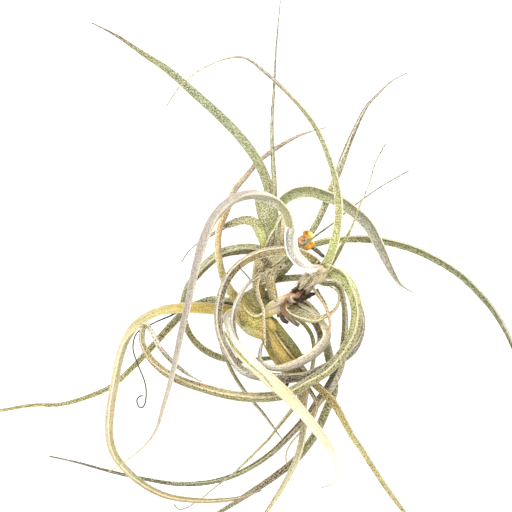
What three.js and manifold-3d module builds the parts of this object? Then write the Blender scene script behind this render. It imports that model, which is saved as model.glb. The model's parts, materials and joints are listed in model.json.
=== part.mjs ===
// Curly air plant, lying on a surface as it was lifted from its perch. Millimetres, +Z up.
// Four short shoots meet at one heart. Channelled leaves curl and loop away from them.
// Leaf and shoot routes are written from the heart, and the finished plant is then set down
// with its lowest leaf tips on z = 0 and its bounding box centred on the origin.
import * as THREE from 'three';
import { mergeVertices } from 'three/addons/utils/BufferGeometryUtils.js';
import Module from 'manifold-3d';

const wasm = await Module();
wasm.setup();

const clearance = 0.3;       // gap between pieces that touch
const leafStep = 5;          // spacing of the rings along a leaf
const leafDepth = 0.42;      // leaf thickness over leaf width, rim to keel
const thinnestLeaf = 0.45;   // a thread-like leaf end is never thinner than this
const shootStep = 3.5;       // spacing of the rings along a shoot
const shootSides = 12;

// Half a leaf section, seen along the leaf: across is in leaf widths, up is in leaf depths.
const leafSection = [
  { across: -0.5, up: 0.42 },
  { across: -0.3, up: -0.45 },
  { across: 0.3, up: -0.45 },
  { across: 0.5, up: 0.42 },
  { across: 0, up: 0.05 },
];

// ---- shapes -------------------------------------------------------------------------------

// Rings of equal size joined into one closed skin, with a flat base and a pointed or flat end.
function skin(rings, apex) {
  const sides = rings[0].length;
  const points = rings.flat();
  const faces = [];
  for (let r = 0; r + 1 < rings.length; r++) {
    for (let k = 0; k < sides; k++) {
      const a = r * sides + k;
      const b = r * sides + (k + 1) % sides;
      faces.push([a, b, b + sides], [a, b + sides, a + sides]);
    }
  }
  const last = (rings.length - 1) * sides;
  const middle = sides - 1;
  for (let k = 0; k < sides - 2; k++) faces.push([middle, k + 1, k]);
  if (apex) {
    points.push(apex);
    for (let k = 0; k < sides; k++) faces.push([last + k, last + (k + 1) % sides, points.length - 1]);
  } else {
    for (let k = 0; k < sides - 2; k++) faces.push([last + middle, last + k, last + k + 1]);
  }
  const geometry = new THREE.BufferGeometry();
  geometry.setAttribute('position', new THREE.Float32BufferAttribute(points.flatMap((p) => p.toArray()), 3));
  const inward = signedVolume(points, faces) < 0;
  geometry.setIndex(faces.flatMap(([a, b, c]) => (inward ? [a, c, b] : [a, b, c])));
  return geometry;
}

function signedVolume(points, faces) {
  const cross = new THREE.Vector3();
  return faces.reduce((sum, [a, b, c]) => sum + points[a].dot(cross.crossVectors(points[b], points[c])) / 6, 0);
}

// Evenly spaced stations along a route of [x, y, z, size] points.
function stations(route, step) {
  const curve = new THREE.CatmullRomCurve3(route.map(([x, y, z]) => new THREE.Vector3(x, y, z)), false, 'centripetal');
  const spans = route.length - 1;
  const found = [];
  for (let span = 0; span < spans; span++) {
    const from = curve.points[span];
    const to = curve.points[span + 1];
    const count = Math.max(1, Math.round(from.distanceTo(to) / step));
    for (let k = 0; k < count; k++) {
      const share = k / count;
      const t = (span + share) / spans;
      found.push({
        at: curve.getPoint(t),
        along: curve.getTangent(t),
        size: THREE.MathUtils.lerp(route[span][3], route[span + 1][3], share),
      });
    }
  }
  return { found, end: curve.points[spans].clone() };
}

// A leaf whose channel side faces away from the point `back`.
function leafShape(route, back, grow = 0) {
  const { found, end } = stations(route, leafStep);
  const behind = new THREE.Vector3(...back);
  const rings = found.map(({ at, along, size }) => {
    const up = at.clone().sub(behind);
    up.addScaledVector(along, -up.dot(along)).normalize();
    const across = new THREE.Vector3().crossVectors(along, up);
    const depth = Math.max(size * leafDepth, thinnestLeaf) + 2 * grow;
    return leafSection.map((corner) => at.clone()
      .addScaledVector(across, corner.across * (size + 2 * grow))
      .addScaledVector(up, corner.up * depth));
  });
  return skin(rings, end);
}

// A round-sectioned shoot or stub; size is its diameter.
function stemShape(route, grow = 0, sides = shootSides, step = shootStep) {
  const { found, end } = stations(route, step);
  const endSize = route[route.length - 1][3];
  const all = [...found, { at: end, along: found[found.length - 1].along, size: endSize }];
  const rings = all.map(({ at, along, size }) => {
    const side = new THREE.Vector3(0, 0, 1).cross(along).normalize();
    const up = new THREE.Vector3().crossVectors(along, side);
    return Array.from({ length: sides }, (_, k) => {
      const angle = 2 * Math.PI * k / sides;
      return at.clone()
        .addScaledVector(side, (size / 2 + grow) * Math.cos(angle))
        .addScaledVector(up, (size / 2 + grow) * Math.sin(angle));
    });
  });
  if (grow > 0) {
    for (const ring of [rings[0], rings[rings.length - 1]]) {
      const outward = ring === rings[0] ? -grow : grow;
      const along = ring === rings[0] ? all[0].along : all[all.length - 1].along;
      ring.forEach((point) => point.addScaledVector(along, outward));
    }
  }
  return skin(rings, null);
}

function solid(geometry) {
  const merged = mergeVertices(geometry);
  return new wasm.Manifold(new wasm.Mesh({
    numProp: 3,
    vertProperties: new Float32Array(merged.attributes.position.array),
    triVerts: new Uint32Array(merged.index.array),
  }));
}

function geometryOf(body) {
  const mesh = body.getMesh();
  const geometry = new THREE.BufferGeometry();
  geometry.setAttribute('position', new THREE.BufferAttribute(new Float32Array(mesh.vertProperties), 3));
  geometry.setIndex(new THREE.BufferAttribute(new Uint32Array(mesh.triVerts), 1));
  return geometry;
}

function cut(geometry, cutters) {
  return geometryOf(cutters.reduce((body, cutter) => body.subtract(cutter), solid(geometry)));
}

function piece(name, geometry, colour, roughness = 0.75) {
  geometry.computeVertexNormals();
  const mesh = new THREE.Mesh(geometry, new THREE.MeshStandardMaterial({ color: colour, roughness, metalness: 0 }));
  mesh.name = name;
  return mesh;
}

// ---- shoots -------------------------------------------------------------------------------

// [x, y, z, diameter]
const shoots = {
  lower_shoot: {
    colour: 0xb8a23f,
    route: [[1, 2, 46, 7], [1, -3, 45, 11], [3, -9, 43.5, 12.4], [7, -15, 41.5, 12.6],
      [11, -21, 39.5, 12], [14.5, -26.5, 37.5, 10], [17, -30.5, 36, 6]],
  },
  left_shoot: {
    colour: 0xc0b545,
    route: [[-1.5, -12, 43.5, 7], [-4.5, -8.5, 44, 13], [-8, -4, 45, 15.5], [-11, 0.5, 45.5, 13],
      [-13, 4, 46, 7.5]],
  },
  upper_shoot: {
    colour: 0xa9a54e,
    route: [[4.5, 3.5, 48.5, 4.6], [2.5, 10, 50, 5], [1.5, 15.5, 49.5, 7], [2.2, 20, 47, 13.5],
      [2.5, 25, 45.5, 14.2], [2, 33, 44, 11.6], [2.5, 42, 43, 9.6], [3.5, 49, 42.5, 8], [3.7, 54, 42.5, 5]],
  },
  right_shoot: {
    colour: 0xd9bf95,
    route: [[3, 0, 51, 5.5], [7, 1.5, 51.5, 7], [12, 4, 53.5, 7.2], [16, 7.5, 57, 7.6], [20, 10.5, 60, 8.2],
      [25, 15, 63.5, 8.8], [28.5, 18.8, 66, 7.6], [30, 21, 67, 5]],
  },
};

// Each shoot is cut back where it meets the ones before it.
function makeShoots() {
  const group = new THREE.Group();
  const grown = {};
  for (const [name, { route, colour }] of Object.entries(shoots)) {
    group.add(piece(name, cut(stemShape(route), Object.values(grown)), colour));
    grown[name] = solid(stemShape(route, clearance));
  }
  return { group, grown };
}

// ---- leaves -------------------------------------------------------------------------------

const below = [0, 0, -400];          // back point of a leaf whose channel faces up
const loopHeart = [-2, -8, 20];      // back point of the loops around the heart

// Route points are [x, y, z, width]; the last one is the tip.
const leaves = {
  silver_arch_leaf: {
    colour: 0xcfc6b4, back: [-10, 15, 20],
    route: [[26, 16, 65.5, 3.6], [20.5, 19.5, 72.5, 5.6], [15, 23, 77.5, 6.2], [11.8, 29, 81, 6.3], [11, 34, 83, 6.3],
      [12, 40, 83.5, 6], [10, 47, 83, 5.2], [4.5, 53, 82, 4.6], [-5.5, 56.5, 80, 4.4], [-15.5, 54.5, 80, 4.2],
      [-25.5, 45.5, 80, 4], [-31, 34, 79, 3.7], [-35, 20, 77, 3], [-38, 5.5, 74, 2.5], [-42, -11, 70, 2.4],
      [-46.5, -32, 64, 2], [-51.5, -50, 56, 1.5], [-55.5, -62, 49, 1], [-63, -71, 43, 0.7], [-73, -78.5, 38, 0.6],
      [-79, -82, 36, 0]],
  },
  tall_arch_leaf: {
    colour: 0xb9b56f, back: [0, 60, 0],
    route: [[28.5, 19, 66, 3], [31, 24, 67.5, 4], [33.5, 31, 68.5, 4.2], [36, 43, 69, 4], [36, 55, 68, 3.8],
      [32.5, 71.5, 64, 3], [24.5, 90.5, 58, 2.7], [12, 106, 52, 2], [-2, 119, 46, 1.8], [-10.5, 125, 43, 1.3],
      [-20.5, 124.5, 41, 1], [-33, 119, 38, 0.8], [-43, 111, 35, 0.6], [-50.5, 100, 32, 0]],
  },
  upper_thread_leaf: {
    colour: 0xb7b27a, back: below,
    route: [[28.5, 18.5, 63.5, 1.6], [32.5, 22, 64, 2], [37.5, 30.5, 65, 2], [42.5, 40, 65, 1.3], [47, 51.5, 63, 0.9],
      [51, 61, 61, 0.7], [55, 73.5, 60, 0.6], [60, 82.5, 60, 0]],
  },
  green_loop_leaf: {
    colour: 0xa6a45e, back: loopHeart,
    route: [[27.5, 17, 63, 3.5], [32, 18, 65, 4.5], [36.5, 16.5, 66.5, 6], [41.5, 11, 68, 6], [44.5, 3, 68, 5.6],
      [45, -5, 67, 5.4], [43, -14, 65, 5.3], [38.5, -22, 62, 5.2], [31, -30.5, 59, 5.1], [21, -37, 57, 5],
      [11, -42.5, 56, 4.8], [-2, -44.5, 56, 4.6], [-17, -43.5, 55, 4.5], [-31, -40, 54, 4.3], [-43, -36, 53, 4],
      [-53, -30, 52, 3.6], [-59.5, -22.5, 51.5, 3], [-62, -15, 51.5, 2.4], [-61, -8.5, 53, 2.6], [-58, -10.5, 55, 1.8],
      [-53, -19.5, 56, 1.6], [-47, -26.5, 56.5, 1.4], [-39, -33, 57, 1], [-31.5, -37, 57, 0]],
  },
  grey_spiral_leaf: {
    colour: 0x9c9079, back: loopHeart,
    route: [[26.5, 18, 62, 3.6], [24, 23, 64, 4.6], [19.5, 26, 67, 5], [11, 28.5, 70, 4.8], [1, 28, 70, 4.4],
      [-8, 25, 69, 4], [-15, 20, 68, 3.8], [-20, 13, 67, 3.8], [-23, 4, 66.5, 3.7], [-24, -5, 66, 3.6],
      [-22.5, -14, 65, 3.6], [-18.5, -22.5, 62, 3.6], [-13, -30, 57.5, 3.6], [-6, -33.5, 53.5, 3.7], [3, -34.5, 51, 3.8],
      [12, -35, 49.5, 3.9], [21, -33.5, 48, 3.7], [29.5, -29.5, 46, 3.2], [38, -26, 44, 2.6], [44.5, -20.5, 42, 2.5],
      [48, -11, 40, 2.4], [47.5, -2, 39.5, 2.3], [44.5, 6, 40, 2.2], [39.5, 13.5, 41, 2.1], [34, 20.5, 42, 1.9],
      [29, 25.5, 43, 1.6], [23, 30.5, 44, 0]],
  },
  dark_trailing_leaf: {
    colour: 0x5f5a3a, back: [-20, -20, -30],
    route: [[26, 13.5, 61, 2.2], [30, 12.3, 58.5, 2.5], [34.5, 12, 57, 2.5], [37.5, 8.5, 56.5, 2.6], [39, 1.5, 56, 2.7],
      [39.5, -7, 54.5, 2.9], [39, -16, 52.5, 3.2], [38, -25, 50, 4], [35.5, -32.5, 46, 4.8], [31, -40.5, 41, 4.6],
      [26, -47, 37.5, 4], [23, -51.5, 35.5, 3.6], [14.5, -61, 31, 3.1], [3, -72.5, 25, 2.7], [-10.5, -81.5, 19, 2.5],
      [-25.5, -87, 15, 2.3], [-43, -88.5, 12, 2.2], [-60.5, -86, 8.5, 1.9], [-77, -82.5, 5.5, 1.6], [-95.5, -77.5, 2.4, 1],
      [-109.5, -74.5, 0.6, 0]],
  },
  lower_green_leaf: {
    colour: 0x6f7349, back: [-60, -60, -60],
    route: [[11, 3.5, 51, 3], [15, 3, 48.5, 4], [19.5, 2, 47, 4.2], [24, -2.5, 45, 4.3], [27.5, -9.5, 42, 4.3],
      [30, -17.5, 39, 4.3], [32, -26, 36, 4.3], [34, -35, 33, 4.2], [34, -41.5, 31, 4.1], [31, -49.5, 28, 4],
      [24, -64.5, 22, 3.8], [15.5, -75.5, 17, 3.6], [4.5, -84.5, 12, 3.4], [-8, -93, 7, 2.9], [-22, -102, 3, 2],
      [-35.5, -109.5, 0.6, 0]],
  },
  lower_straw_leaf: {
    colour: 0xb5a45a, back: [-60, -60, -60],
    route: [[3, -3.5, 43.5, 3], [9, -3.5, 43, 3.4], [14, -4.5, 42, 3.6], [19, -8, 40, 3.8], [22.5, -13, 38, 3.8],
      [24, -20.5, 35, 3.8], [23.5, -28, 32, 3.8], [21.5, -36, 30, 3.7], [19.5, -43.5, 29, 3.6], [18.5, -52, 28, 3.5],
      [18.5, -62.5, 26, 3.4], [16, -74, 23.5, 3.1], [11, -85, 18, 2.7], [5.5, -94.5, 12, 2.3], [0.5, -102, 6.5, 1.8],
      [-5.5, -111, 0.6, 0]],
  },
  inner_curl_leaf: {
    colour: 0xa7a063, back: [25, 0, 30],
    route: [[10.5, 2, 54, 3.5], [13.5, -1.5, 57, 5], [17.5, -3.5, 60, 5.2], [24, -5.5, 62, 3.6], [29.5, -4, 63, 2.2],
      [34, -1, 64, 1.7], [36.5, 4, 64, 1.5], [35.5, 8.5, 63, 1.2], [31, 11.2, 62, 0]],
  },
  peach_thread_leaf: {
    colour: 0xd9a877, back: [15, -5, 50],
    route: [[24, 11, 62, 1.6], [26, 7, 66, 1.7], [29, 2.5, 68, 1.6], [31, -2.5, 70, 1.4], [32, -8, 70, 1.2],
      [31, -15, 69, 0]],
  },
  beige_curl_leaf: {
    colour: 0xb8a685, back: [10, -15, 30],
    route: [[13, 4, 52, 3], [17.5, -0.5, 52.5, 4], [22, -3, 54, 4.4], [26.5, -8, 56, 4.6], [29, -14, 57, 4.5],
      [27, -19.5, 57.5, 4.2], [21, -24.5, 57, 3.8], [13, -28.5, 56, 3.4], [5.5, -30, 55, 2.6], [0, -29, 53, 2],
      [-3, -25, 51, 1.6], [-2.5, -19.5, 50, 1.2], [-1.5, -17, 50, 0]],
  },
  long_left_leaf: {
    colour: 0x7a7a3e, back: [0, -20, -120],
    route: [[24.5, 13.5, 61, 1.8], [23, 14.5, 55.5, 2.2], [18, 15.2, 49.5, 3], [12, 15, 46, 3.2], [5, 14, 43, 3.2],
      [-2, 11, 39.5, 3.2], [-8, 7.5, 37.5, 3.2], [-13, 5, 36.5, 3.4], [-20, 3.5, 36.5, 3.7], [-27, 4, 37, 3.8],
      [-38, 0, 36.5, 3.6], [-44, -5, 34, 3.5], [-50.5, -12, 31, 3.4], [-58, -20.5, 28, 3], [-66.5, -29.5, 24, 2.7],
      [-77, -39, 19, 2.5], [-89, -44.5, 13, 2.3], [-103, -48.5, 8, 2], [-118, -49, 4.5, 1.7], [-133, -51.5, 2.4, 1.5],
      [-148, -53, 1.2, 1], [-158, -51, 0.6, 0]],
  },
  golden_loop_leaf: {
    colour: 0xcdb462, back: [-30, -45, -20],
    route: [[-9, -3, 45, 4], [-15.5, -2, 46.5, 4.8], [-24, -0.5, 47, 5.2], [-33, 0, 47, 5.2], [-43, 0, 46, 4.9],
      [-53, -1.5, 45, 4.2], [-60.5, -5, 44, 4.1], [-66.5, -10, 43, 4.1], [-71, -18, 42, 4.1], [-74, -28, 41, 4.1],
      [-76, -40, 39, 4.1], [-78, -52, 37, 4.1], [-78.5, -63.5, 35, 4], [-76, -73, 32, 3.8], [-70.5, -80.5, 30, 3.6],
      [-62, -88, 28, 3.2], [-50.5, -94, 25, 2.9], [-35.5, -96.5, 22, 2.5], [-22, -96.5, 19, 2.1], [-12, -95, 17, 1.6],
      [-2, -91.5, 15.5, 0]],
  },
  tan_hook_leaf: {
    colour: 0xcdb06a, back: [0, 40, -10],
    route: [[-7, -4, 47, 3], [-11, 0.5, 50, 3.6], [-14.5, 4.5, 52, 4], [-18.5, 9.5, 53, 4], [-21.5, 16, 53, 3.6],
      [-23.5, 25, 52, 3], [-24, 34, 50, 2.5], [-22.5, 42, 48, 2.4], [-19.5, 48.5, 46, 2.4], [-16, 58.5, 41, 2.4],
      [-10, 66, 36, 2.4], [-3, 74, 33, 2.3], [6, 80.5, 32, 2.2], [17, 86.5, 31, 1.5], [30.5, 90.5, 31, 0]],
  },
  grey_narrow_leaf: {
    colour: 0x8b8468, back: [0, -20, 0],
    route: [[-12, -2, 48, 1.5], [-18, -2, 51.5, 1.8], [-22, -6.5, 54, 1.8], [-22.8, -16, 53, 1.8], [-19.5, -26, 50, 1.8],
      [-14.5, -36, 45, 1.8], [-8, -45, 41, 1.7], [-2, -52, 37, 1.5], [4, -60, 33.5, 1.1], [8.5, -66.5, 31, 0]],
  },
  cream_front_leaf: {
    colour: 0xe9e2b0, back: [0, -30, -30],
    route: [[-9, -1.5, 50, 3], [-11, -1, 53.5, 4], [-14.5, -0.5, 56, 5], [-18, -1.5, 57, 5.5], [-20, -5, 57, 5.8],
      [-18, -11, 58, 6], [-14.5, -19, 60.5, 6.2], [-7, -27.5, 66, 6.3], [1, -35, 68.5, 6.2], [9.5, -42.5, 67.5, 5.8],
      [18, -52, 64, 5], [25.5, -61, 59, 4.5], [31.5, -69.5, 52, 4], [35, -77.5, 46, 3.2], [35.5, -83.5, 42, 2.3],
      [33, -88, 40, 1.4], [27, -90, 39, 0]],
  },
  broad_upper_leaf: {
    colour: 0x8f9a6d, back: below,
    route: [[2, 48, 41.5, 3.4], [1.8, 57, 41, 4.2], [-0.5, 65.5, 40.5, 4.6], [-5.5, 75.5, 39.5, 4.7], [-12.5, 85, 37, 4.7],
      [-23, 96, 32, 4.6], [-33.5, 105.5, 26, 4.3], [-49.5, 119.5, 17, 3.5], [-61.5, 127.5, 10.5, 2.6],
      [-75.5, 137, 4, 1.5], [-88, 143.5, 0.6, 0]],
  },
  upright_leaf: {
    colour: 0xa59d7c, back: below,
    route: [[4, 49, 44.5, 2.2], [4.3, 59.5, 46.5, 2.6], [3.5, 74, 45.5, 2.2], [3, 91.5, 44, 1.8], [4, 109.5, 42, 1.4],
      [5, 129, 40, 1], [6.5, 146.5, 38, 0.7], [7.5, 158, 37, 0]],
  },
  right_arch_leaf: {
    colour: 0x8f9171, back: [15, 20, 0],
    route: [[5, 48, 42.5, 3], [9.5, 54.5, 46, 4], [14.5, 57.3, 49, 4.8], [22, 58.2, 51, 4.9], [29.5, 56, 51.5, 4.8],
      [37, 53, 50.5, 4.7], [44, 48, 48.5, 4.5], [50, 42.5, 46, 4.2], [54.5, 35.5, 43, 3.8], [59, 26, 40, 3.4],
      [63, 18, 37, 2.5], [67.5, 11.5, 35, 1.4], [74, 7.5, 34, 0]],
  },
  small_left_curl_leaf: {
    colour: 0x9aa05c, back: [-15, 25, 10],
    route: [[0.5, 33, 45, 3.6], [-2.5, 38, 46, 4.2], [-5, 42, 46, 4.4], [-9.5, 44, 45.5, 4.4], [-15, 43, 44, 3.8],
      [-21, 40.5, 41.5, 2.6], [-26.5, 37, 39.5, 1.6], [-34, 32.5, 37.5, 0.9], [-39, 28, 36, 0.6], [-42.5, 22.5, 35, 0]],
  },
  left_spiral_leaf: {
    colour: 0x6f7542, back: [-15, 0, -20],
    route: [[-0.5, 28, 43, 4], [-8, 29.5, 41.5, 4.8], [-15.5, 29, 42, 5], [-23, 27, 41.5, 4.7], [-29.5, 22, 39.5, 4.4],
      [-35, 16, 36, 4], [-39, 10.5, 32.5, 3.6], [-41, 5, 29.5, 3.2], [-41.5, -2, 26.5, 3], [-39.5, -10.5, 24, 3],
      [-35, -17.5, 22, 3.2], [-28.5, -22.5, 21, 3.2], [-20.5, -25.5, 20, 3], [-10.5, -26.5, 19, 2.6],
      [-0.5, -25.5, 19, 2.1], [9.5, -24.5, 20, 1.5], [21.5, -23, 22.5, 0]],
  },
  upper_right_leaf: {
    colour: 0xa8a487, back: below,
    route: [[5, 23.5, 47, 2.2], [11, 26.5, 47.5, 2.6], [16.5, 31, 47.5, 2.8], [23, 38.5, 47, 2.8], [29.5, 51.5, 46, 2.9],
      [33, 60.5, 45, 3], [36.5, 69, 44, 3], [40.5, 80, 42, 2.6], [45, 90.5, 40, 2.1], [50.5, 101, 38, 1.5],
      [57, 108, 37, 1], [63.5, 114, 36, 0.7], [71.5, 118, 36, 0]],
  },
  thin_right_leaf: {
    colour: 0x6f7556, back: below,
    route: [[6.5, 22, 43, 1], [11, 24, 43.2, 1.1], [16, 28, 43.2, 1.1], [22.5, 34.3, 43, 1.1], [32.5, 41.5, 42, 1],
      [39.5, 47.5, 41, 0.9], [48.5, 54.5, 40, 0.8], [58, 61, 39, 0.7], [72, 69, 38, 0]],
  },
  long_right_leaf: {
    colour: 0x8a8a4e, back: [0, -60, -150],
    route: [[6, 20.5, 41, 2], [9.5, 22, 39, 2.4], [15, 27, 38.5, 2.8], [23, 31.3, 38, 3], [29.5, 33.3, 38, 3.3],
      [42, 34.5, 37, 3.6], [54.5, 34, 35.5, 3.7], [67, 31.5, 33, 3.7], [77, 28, 31, 3.7], [87, 23, 28, 3.6],
      [97, 16.5, 25, 3.5], [107, 7, 20.5, 3.3], [114.5, -2, 16, 3], [120, -11, 11.5, 2.6], [124.5, -21, 6.5, 2],
      [127, -30, 3, 1.3], [126, -38, 1.4, 0.8], [121.8, -44, 0.6, 0]],
  },
  lower_right_leaf: {
    colour: 0xa89c52, back: below,
    route: [[15, -26.5, 39, 2], [19, -31.5, 42, 2.5], [22, -35.5, 44, 2.9], [25.5, -39, 45.3, 3], [29.5, -42.5, 45, 3],
      [34.5, -48.5, 43.5, 3], [38, -54.5, 41.5, 2.7], [42, -62, 38.5, 2.4], [47, -69.5, 35, 2.3], [53, -79, 29.5, 2.2],
      [59.5, -89, 22.5, 2.1], [64.5, -96, 17.5, 1.9], [69.5, -102.5, 12, 1.6], [77, -112, 5, 1], [83, -119.5, 0.6, 0]],
  },
  reddish_thread_leaf: {
    colour: 0xa98266, back: below,
    route: [[15, -28, 36, 1.6], [18, -34.5, 37.5, 1.8], [21.5, -40.5, 40, 2], [24.5, -45.5, 42, 1.9], [25.5, -49.5, 42, 1.6],
      [24, -54.5, 41, 1.4], [21, -58.5, 39.5, 1.2], [17, -62.5, 37.5, 1], [13, -67, 35, 0.8], [10.5, -71.5, 33, 0.6],
      [10, -75.5, 31.5, 0.5], [10.5, -79, 30, 0]],
  },
  thin_lower_leaf: {
    colour: 0xa3a173, back: below,
    route: [[13, -27.5, 34, 1.6], [15, -33, 33.5, 1.8], [16.8, -38.5, 34, 2], [16, -46, 33, 2], [13, -51, 31.5, 2],
      [9, -56, 30, 1.8], [5, -61, 28.5, 1.5], [1, -66, 27, 1.3], [-5.5, -72.5, 25, 1.2], [-11.5, -78.5, 23.5, 1.1],
      [-17.5, -84, 22, 1], [-23, -88, 20, 0.8], [-28, -92, 17.5, 0.7], [-32, -95.5, 15.5, 0.6], [-36, -98, 14, 0.5],
      [-40, -100.5, 13.5, 0.5], [-44, -101, 13.5, 0.5], [-46.5, -98, 14, 0]],
  },
  dark_short_leaf: {
    colour: 0x3f3526, back: below,
    route: [[11.5, -26.5, 35, 2], [11.5, -32, 36, 2.6], [10, -38, 38, 2.8], [7, -43, 40, 2.6], [2.5, -45.8, 41.5, 2],
      [-3.5, -47, 43, 0]],
  },
  centre_curl_leaf: {
    colour: 0xd8cf9e, back: [10, 5, 30],
    route: [[7.5, 21.5, 49, 2.6], [5.5, 19.5, 54.5, 3], [1, 17.5, 57, 3], [-3.5, 15, 58, 2.5], [-4.6, 10.5, 58, 1.8],
      [-3.5, 5, 58, 1.4], [-1.5, -0.5, 58, 1.2], [-1, -7, 58, 1], [-0.8, -13.5, 57, 0.9], [-0.3, -19.5, 56, 0]],
  },
  grey_short_leaf: {
    colour: 0xb9b2a6, back: [0, -10, 20],
    route: [[-2.5, 18, 50, 1.2], [-7, 14, 55.5, 1.4], [-11, 9.5, 59.5, 1.8], [-14, 4, 62, 2.6], [-16, -2, 63, 3],
      [-16.5, -7, 63, 2.8], [-15.5, -12, 62.5, 1.8], [-13.5, -16, 62, 0]],
  },
  curly_tendril_leaf: {
    colour: 0x5d5648, back: below,
    route: [[-13, 1.5, 43, 1.4], [-20, 2.5, 42.5, 1.3], [-30, 2, 42, 1.2], [-40, 0, 41.5, 1.1], [-48, -4, 40.5, 0.9],
      [-54, -6.5, 39.5, 0.7], [-59, -9, 39, 0.6], [-63, -11, 38.5, 0.6], [-65.5, -14, 38, 0.6], [-66.5, -18.5, 37.5, 0.6],
      [-66.3, -22, 37, 0.6], [-65, -26, 36.5, 0.6], [-63, -31, 35.5, 0.6], [-61, -36, 34.5, 0.6], [-60, -41, 33.5, 0.6],
      [-60.2, -46, 32.5, 0.5], [-61.2, -49.2, 32, 0.5], [-62.8, -50, 31.5, 0.5], [-64.3, -48.3, 31.2, 0.5],
      [-64.6, -46, 31, 0.5], [-63.3, -44.3, 31, 0.5], [-61, -43.7, 31, 0]],
  },
};

function makeLeaves(shootsGrown) {
  const group = new THREE.Group();
  for (const [name, { route, back, colour }] of Object.entries(leaves)) {
    group.add(piece(name, cut(leafShape(route, back), Object.values(shootsGrown)), colour));
  }
  return group;
}

// ---- flower and dried bits ----------------------------------------------------------------

const flowerStalk = [[6, 26, 49, 2], [10, 29.5, 51.5, 1.8], [14, 32, 53, 1.8], [17.3, 33.3, 53.7, 1.8]];
const flowerCup = [[17.6, 33.4, 53.8, 2.4], [19, 33.8, 54.2, 3.6], [20.4, 34.2, 54.8, 2.8]];
const petals = {
  petal_1: [[18.2, 36, 54.6, 2.2], [17.4, 38, 55.4, 3.2], [18.6, 39.6, 56, 2.8], [20.8, 39.4, 56.4, 0]],
  petal_2: [[20.3, 32.4, 56.4, 2], [21.4, 31.4, 57, 3], [22.6, 30.2, 57, 2.4], [23.4, 28.9, 56.6, 0]],
  petal_3: [[20.5, 35.7, 55.5, 1.8], [21.4, 37, 56.2, 2.6], [22.6, 37.4, 56, 1.8], [23.8, 36.8, 55.4, 0]],
};
const driedStubs = {
  dried_stub_1: [[9.5, 3, 55, 2.8], [8.6, -1.2, 58, 3], [10, -4.8, 59.8, 2.6], [13.2, -7, 61, 2.2], [16.5, -8.5, 62, 1.8]],
  dried_stub_2: [[6.5, -0.5, 52, 2], [6.5, -4, 54, 2], [8.4, -6.2, 55.6, 1.8], [10.6, -7.4, 56.4, 1.4]],
};
const collar = [[16.5, 8, 57.4, 10.4], [18.5, 9.4, 58.9, 10.8], [20.5, 11, 60.4, 11]];

function makeFlower(shootsGrown) {
  const group = new THREE.Group();
  const cutters = Object.values(shootsGrown);
  group.add(piece('flower_stalk', cut(stemShape(flowerStalk, 0, 8), cutters), 0x8a8450));
  group.add(piece('flower_cup', stemShape(flowerCup, 0, 8, 2), 0x7f866a));
  for (const [name, route] of Object.entries(petals)) {
    group.add(piece(name, leafShape(route, [20, 34, 40]), 0xe0902a));
  }
  return group;
}

function makeDriedBits(shootsGrown) {
  const group = new THREE.Group();
  const cutters = Object.values(shootsGrown);
  for (const [name, route] of Object.entries(driedStubs)) {
    group.add(piece(name, cut(stemShape(route, 0, 8), cutters), 0x6e4a34));
  }
  group.add(piece('dried_collar', cut(stemShape(collar), cutters), 0x3b241a));
  return group;
}

// ---- plant --------------------------------------------------------------------------------

function makePlant() {
  const grown = new THREE.Group();
  const { group, grown: shootsGrown } = makeShoots();
  grown.add(group, makeLeaves(shootsGrown), makeFlower(shootsGrown), makeDriedBits(shootsGrown));
  const box = new THREE.Box3().setFromObject(grown, true);
  const centre = box.getCenter(new THREE.Vector3());
  grown.position.set(-centre.x, -centre.y, -box.min.z);
  const plant = new THREE.Group();
  plant.add(grown);
  return plant;
}

export default makePlant();
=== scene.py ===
import json
import math
import random

import bmesh
import bpy
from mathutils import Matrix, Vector, noise


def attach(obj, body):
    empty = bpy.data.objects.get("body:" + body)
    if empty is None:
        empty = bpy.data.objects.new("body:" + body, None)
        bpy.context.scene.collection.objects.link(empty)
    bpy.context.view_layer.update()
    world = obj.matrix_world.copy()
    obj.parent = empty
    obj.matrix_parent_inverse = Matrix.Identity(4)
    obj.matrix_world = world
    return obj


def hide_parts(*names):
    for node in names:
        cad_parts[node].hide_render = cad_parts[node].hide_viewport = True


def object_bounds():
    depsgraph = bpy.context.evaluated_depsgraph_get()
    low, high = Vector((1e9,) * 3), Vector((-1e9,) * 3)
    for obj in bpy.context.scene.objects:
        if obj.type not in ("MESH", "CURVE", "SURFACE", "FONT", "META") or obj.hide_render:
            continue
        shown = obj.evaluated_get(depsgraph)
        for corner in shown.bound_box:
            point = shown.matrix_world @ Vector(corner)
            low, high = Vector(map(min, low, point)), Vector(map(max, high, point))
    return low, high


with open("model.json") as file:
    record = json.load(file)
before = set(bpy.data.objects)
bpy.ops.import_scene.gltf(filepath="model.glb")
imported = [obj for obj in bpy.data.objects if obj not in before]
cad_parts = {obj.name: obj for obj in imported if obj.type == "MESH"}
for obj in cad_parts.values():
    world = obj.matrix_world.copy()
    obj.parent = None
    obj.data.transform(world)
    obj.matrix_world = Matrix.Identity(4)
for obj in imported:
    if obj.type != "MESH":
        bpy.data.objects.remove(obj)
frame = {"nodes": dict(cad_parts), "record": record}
cadLow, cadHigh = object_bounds()
bpy.ops.object.select_all(action="DESELECT")
mm = 0.001
middle = (Vector(cadLow) + Vector(cadHigh)) / 2
print("frame loaded:", len(frame["nodes"]), "CAD nodes")

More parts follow.
